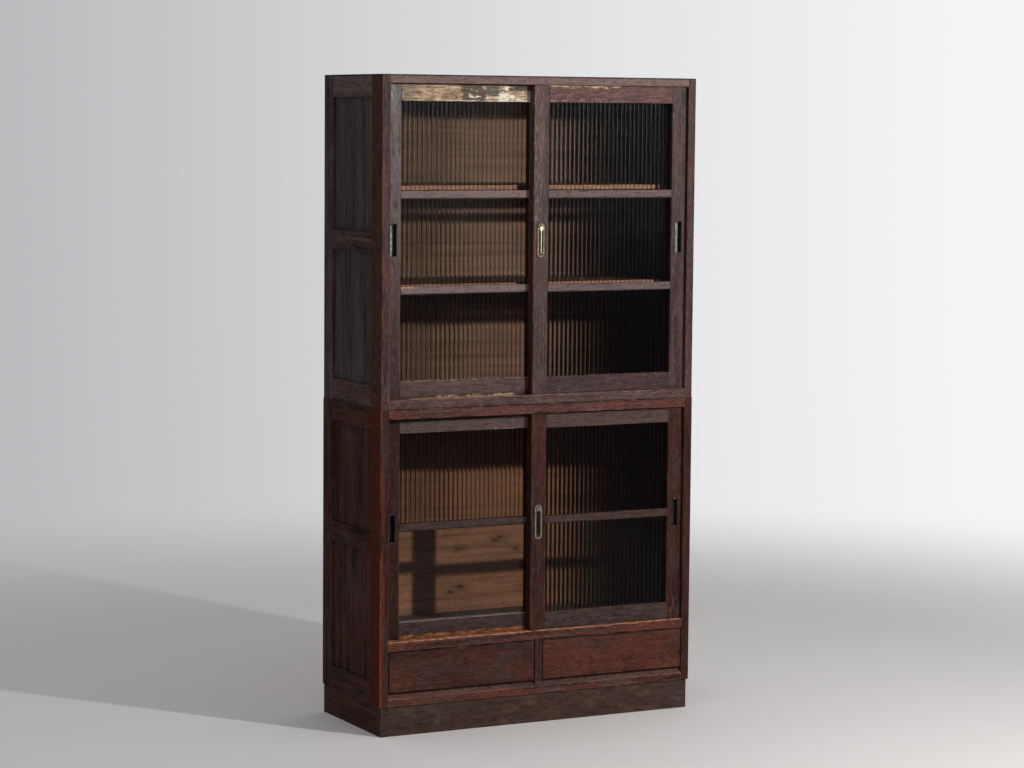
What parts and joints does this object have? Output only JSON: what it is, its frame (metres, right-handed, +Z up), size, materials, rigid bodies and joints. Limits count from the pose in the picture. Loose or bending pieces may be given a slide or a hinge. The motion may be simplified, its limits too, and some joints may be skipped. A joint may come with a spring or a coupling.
{
  "type": "mizuya kitchen cabinet",
  "caption": "Tall two-part kitchen cabinet of dark stained wood: sliding doors with reeded glass above and below, drawers without handles and a plain plinth.",
  "frame": {"origin": "on the floor under the middle of the cabinet's footprint", "axes": "+X to the right seen from the front, +Y to the back, +Z up"},
  "size_m": [0.912, 0.362, 1.682],
  "materials": {
    "plinth_wood": "dark red-brown stain, scuffed along the floor",
    "lower_frame_wood": "dark red-brown stain, worn to orange wood on the arrises",
    "upper_frame_wood": "dark red-brown stain, greyed by handling, worn arrises",
    "side_wood": "near-black brown stain, satin",
    "back_wood": "thin warm-brown stain on knotty boards, matte",
    "carcass_wood": "bare softwood, aged",
    "shelf_wood": "bare softwood with a worn orange front edge",
    "upper_door_wood": "dark red-brown stain, flaked and bare along some rails",
    "lower_door_wood": "dark red-brown stain, worn along the bottom rail",
    "drawer_front_wood": "dark red stain, satin",
    "drawer_box_wood": "bare softwood",
    "door_glass": "reeded glass, smooth in the lowest pane of the lower left door",
    "bright_brass": "rubbed brass, darker in the recesses",
    "dull_brass": "tarnished grey-green brass",
    "pull_metal": "dull pressed steel"
  },
  "bodies": {
    "lower_case": {"plinth_front_and_back": "plinth_wood", "plinth_ends": "plinth_wood", "lower_front_posts": "lower_frame_wood", "lower_head_rail": "lower_frame_wood", "lower_sill": "lower_frame_wood", "drawer_rail": "lower_frame_wood", "drawer_divider": "lower_frame_wood", "lower_rear_posts": "side_wood", "lower_side_rails": "side_wood", "lower_side_panels": "side_wood", "lower_back_planks": "back_wood", "lower_back_rails": "back_wood", "lower_top_board": "carcass_wood", "lower_floor": "carcass_wood", "drawer_case_bottom": "carcass_wood", "drawer_runners": "carcass_wood", "lower_floor_battens": "carcass_wood"},
    "upper_case": {"upper_front_posts": "upper_frame_wood", "upper_head_rail": "upper_frame_wood", "upper_sill": "upper_frame_wood", "upper_rear_posts": "side_wood", "upper_side_rails": "side_wood", "upper_side_panels": "side_wood", "upper_back_planks": "back_wood", "upper_back_rails": "back_wood", "upper_top_board": "carcass_wood", "upper_floor": "carcass_wood", "shelves": "shelf_wood", "shelf_battens": "carcass_wood"},
    "upper_left_door": {"upper_left_door_stiles": "upper_door_wood", "upper_left_door_rails": "upper_door_wood", "upper_left_door_panes": "door_glass", "upper_left_pull": "pull_metal", "upper_lock_socket": "bright_brass"},
    "upper_right_door": {"upper_right_door_stiles": "upper_door_wood", "upper_right_door_rails": "upper_door_wood", "upper_right_door_panes": "door_glass", "upper_right_pull": "pull_metal", "upper_lock_plate": "bright_brass", "upper_lock_screw": "bright_brass"},
    "upper_lock_handle": {"upper_lock_handle": "bright_brass"},
    "lower_left_door": {"lower_left_door_stiles": "lower_door_wood", "lower_left_door_rails": "lower_door_wood", "lower_left_door_panes": "door_glass", "lower_left_pull": "pull_metal", "lower_lock_socket": "dull_brass"},
    "lower_right_door": {"lower_right_door_stiles": "lower_door_wood", "lower_right_door_rails": "lower_door_wood", "lower_right_door_panes": "door_glass", "lower_right_pull": "pull_metal", "lower_lock_plate": "dull_brass", "lower_lock_screw": "dull_brass"},
    "lower_lock_handle": {"lower_lock_handle": "dull_brass"},
    "left_drawer": {"left_drawer_front": "drawer_front_wood", "left_drawer_sides_and_back": "drawer_box_wood", "left_drawer_bottom": "drawer_box_wood"},
    "right_drawer": {"right_drawer_front": "drawer_front_wood", "right_drawer_sides_and_back": "drawer_box_wood", "right_drawer_bottom": "drawer_box_wood"}
  },
  "joints": [
    {"name": "upper_case_lift", "type": "slide", "parent": "lower_case", "child": "upper_case", "axis": [0, 0, 1], "range_m": [0, 0.06]},
    {"name": "upper_left_door_slide", "type": "slide", "parent": "upper_case", "child": "upper_left_door", "axis": [1, 0, 0], "range_m": [0, 0.41]},
    {"name": "upper_right_door_slide", "type": "slide", "parent": "upper_case", "child": "upper_right_door", "axis": [-1, 0, 0], "range_m": [0, 0.41]},
    {"name": "upper_lock_handle_fold", "type": "hinge", "parent": "upper_right_door", "child": "upper_lock_handle", "pos_m": [0, -0.173, 1.2915], "axis": [-1, 0, 0], "range_deg": [0, 90]},
    {"name": "lower_left_door_slide", "type": "slide", "parent": "lower_case", "child": "lower_left_door", "axis": [1, 0, 0], "range_m": [0, 0.41]},
    {"name": "lower_right_door_slide", "type": "slide", "parent": "lower_case", "child": "lower_right_door", "axis": [-1, 0, 0], "range_m": [0, 0.41]},
    {"name": "lower_lock_handle_fold", "type": "hinge", "parent": "lower_right_door", "child": "lower_lock_handle", "pos_m": [0, -0.173, 0.5605], "axis": [-1, 0, 0], "range_deg": [0, 90]},
    {"name": "left_drawer_slide", "type": "slide", "parent": "lower_case", "child": "left_drawer", "axis": [0, -1, 0], "range_m": [0, 0.26]},
    {"name": "right_drawer_slide", "type": "slide", "parent": "lower_case", "child": "right_drawer", "axis": [0, -1, 0], "range_m": [0, 0.26]}
  ]
}
